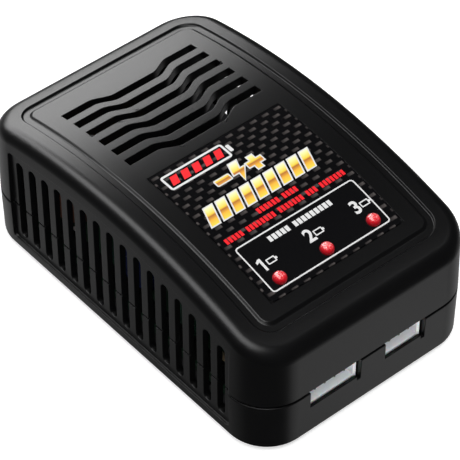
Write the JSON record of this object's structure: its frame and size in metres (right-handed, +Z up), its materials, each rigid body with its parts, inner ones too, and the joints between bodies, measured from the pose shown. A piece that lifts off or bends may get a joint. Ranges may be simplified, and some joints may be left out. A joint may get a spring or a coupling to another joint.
{
  "type": "balance battery charger",
  "caption": "Mains balance charger: arched black case with vents, film label, red charge lamps, white balance sockets in front and a mains inlet at the rear.",
  "frame": {"origin": "on the table, under the middle of the case footprint", "axes": "+Z up; -Y out of the balance sockets; +Y out of the mains inlet; +X to the right of someone who faces the sockets from +Y"},
  "size_m": [0.056, 0.0874, 0.0343],
  "materials": {
    "case_black": "fine matt texture",
    "label_black": "satin film",
    "label_grey": "satin film",
    "screw_steel": "blackened",
    "foot_rubber": "matt",
    "sheet_grey": "pressed board",
    "board_green": "solder mask",
    "socket_white": "moulded nylon",
    "pin_tin": "tinned",
    "inlet_black": "moulded",
    "lamp_red": "tinted clear epoxy",
    "fuse_brown": "moulded",
    "cap_black": "moulded box",
    "disc_blue": "dipped lacquer",
    "ferrite_grey": "sintered",
    "copper_wire": "enamelled copper",
    "epoxy_black": "moulded epoxy",
    "can_blue": "sleeved can",
    "can_green": "sleeved can",
    "tape_yellow": "polyester tape",
    "sink_aluminium": "rolled sheet",
    "opto_white": "moulded",
    "resistor_tan": "lacquered"
  },
  "bodies": {
    "root": {"top_cover": "case_black", "base": "case_black", "top_label": "label_black", "rating_label": "label_grey", "case_screws": "screw_steel", "board_screws": "screw_steel", "rubber_feet": "foot_rubber", "insulating_sheet": "sheet_grey", "main_board": "board_green", "socket_3s_shroud": "socket_white", "socket_2s_shroud": "socket_white", "socket_3s_pins": "pin_tin", "socket_2s_pins": "pin_tin", "ac_inlet_pins": "pin_tin", "led_leads": "pin_tin", "ac_inlet_body": "inlet_black", "led_spacers": "inlet_black", "led_1": "lamp_red", "led_2": "lamp_red", "led_3": "lamp_red", "fuse": "fuse_brown", "x_capacitor": "cap_black", "y_capacitor": "disc_blue", "choke_core": "ferrite_grey", "transformer_core": "ferrite_grey", "choke_windings": "copper_wire", "output_choke": "copper_wire", "bridge_rectifier": "epoxy_black", "power_switch": "epoxy_black", "rectifier_diode": "epoxy_black", "control_chip": "epoxy_black", "microcontroller": "epoxy_black", "transformer_bobbin": "epoxy_black", "bulk_capacitor": "can_blue", "output_capacitors": "can_green", "transformer_winding": "tape_yellow", "heatsink_primary": "sink_aluminium", "heatsink_secondary": "sink_aluminium", "optocoupler": "opto_white", "balance_resistors": "resistor_tan"}
  },
  "joints": []
}
